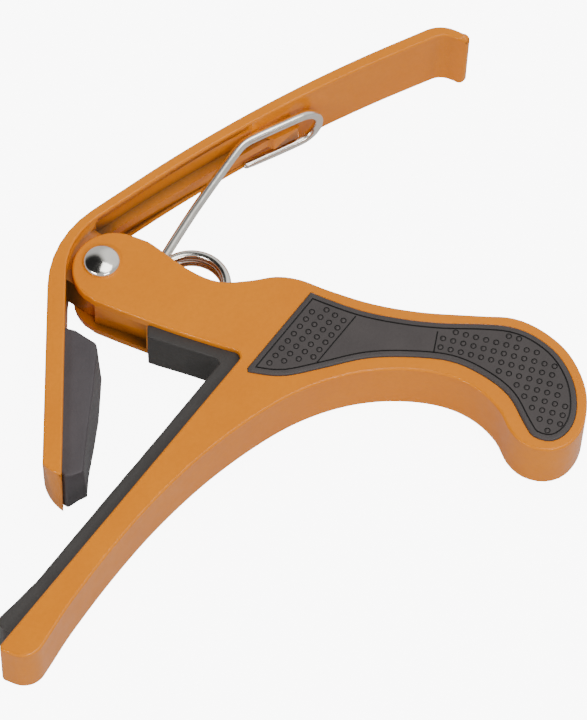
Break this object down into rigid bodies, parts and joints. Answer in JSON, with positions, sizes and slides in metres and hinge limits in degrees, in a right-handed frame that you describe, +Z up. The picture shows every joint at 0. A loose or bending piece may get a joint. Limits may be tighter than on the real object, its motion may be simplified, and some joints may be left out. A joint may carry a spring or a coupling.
{
  "type": "guitar capo",
  "caption": "Spring-loaded trigger capo: a curled handle with a rubber-faced bar, a pivoting lever with a rubber neck pad, and a wire spring hooked over the lever.",
  "frame": {"origin": "centre of the bounding box in plan, on the surface the capo lies on (the lever's far side face)", "axes": "+X along the fretboard bar towards the pivot and the trigger, +Y out of the string pad towards the neck, +Z up, along the pivot axis"},
  "size_m": [0.1267, 0.0816, 0.0123],
  "materials": {
    "casting_paint": "satin",
    "lever_paint": "satin",
    "rivet_metal": "polished",
    "spring_wire": "polished",
    "string_rubber": "matte",
    "neck_rubber": "matte",
    "grip_rubber": "moulded"
  },
  "bodies": {
    "frame": {"body_frame": "casting_paint", "pivot_rivet": "rivet_metal", "spring_coil": "spring_wire", "string_pad": "string_rubber", "grip_inlay_near": "grip_rubber", "grip_inlay_far": "grip_rubber"},
    "lever": {"lever": "lever_paint", "neck_pad": "neck_rubber"},
    "spring_arm": {"spring_arm": "spring_wire"}
  },
  "joints": [
    {"name": "lever_pivot", "type": "hinge", "parent": "frame", "child": "lever", "pos_m": [-0.00305, 0.03385, 0.006], "axis": [0, 0, -1], "range_deg": [0, 38], "stiffness_Nm_per_rad": 0.6, "springref_deg": -34.38},
    {"name": "spring_arm_turn", "type": "hinge", "parent": "frame", "child": "spring_arm", "pos_m": [0.0033, 0.0219, 0.006], "axis": [0, 0, -1], "range_deg": [0, 58.2]}
  ],
  "couplings": [
    {"joint": "spring_arm_turn", "follows": "lever_pivot", "ratio": 1.53}
  ]
}
